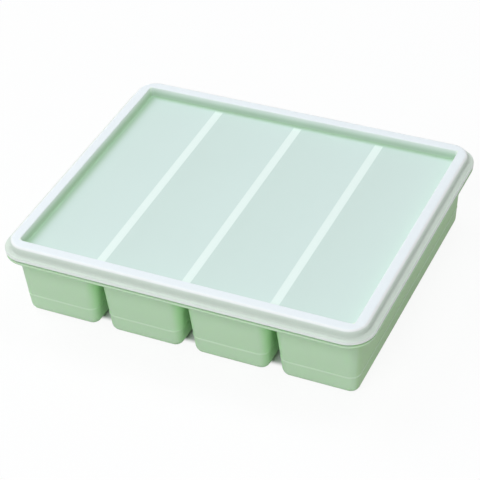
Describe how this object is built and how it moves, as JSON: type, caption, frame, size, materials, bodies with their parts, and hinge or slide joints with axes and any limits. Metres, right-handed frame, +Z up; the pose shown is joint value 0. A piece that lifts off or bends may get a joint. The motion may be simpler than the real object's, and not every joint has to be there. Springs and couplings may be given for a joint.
{
  "type": "silicone freezer tray",
  "caption": "Shallow silicone freezer tray with a row of long drafted wells, a wire-stiffened rim and a frosted press-on lid with a sunk panel and sealing ribs.",
  "frame": {"origin": "middle of the footprint, on the surface that the pods stand on", "axes": "+X along the row of wells, +Y along each well from the front to the back, +Z up towards the lid"},
  "size_m": [0.2644, 0.219, 0.0611],
  "materials": {
    "tray_silicone": "satin moulded silicone",
    "rim_steel": "drawn wire",
    "lid_frosted": "frosted translucent"
  },
  "bodies": {
    "tray_body": {"tray": "tray_silicone", "rim_wire": "rim_steel"},
    "lid_body": {"lid": "lid_frosted"}
  },
  "joints": [
    {"name": "lid_lift", "type": "slide", "parent": "tray_body", "child": "lid_body", "axis": [0, 0, 1], "range_m": [0, 0.09]}
  ]
}
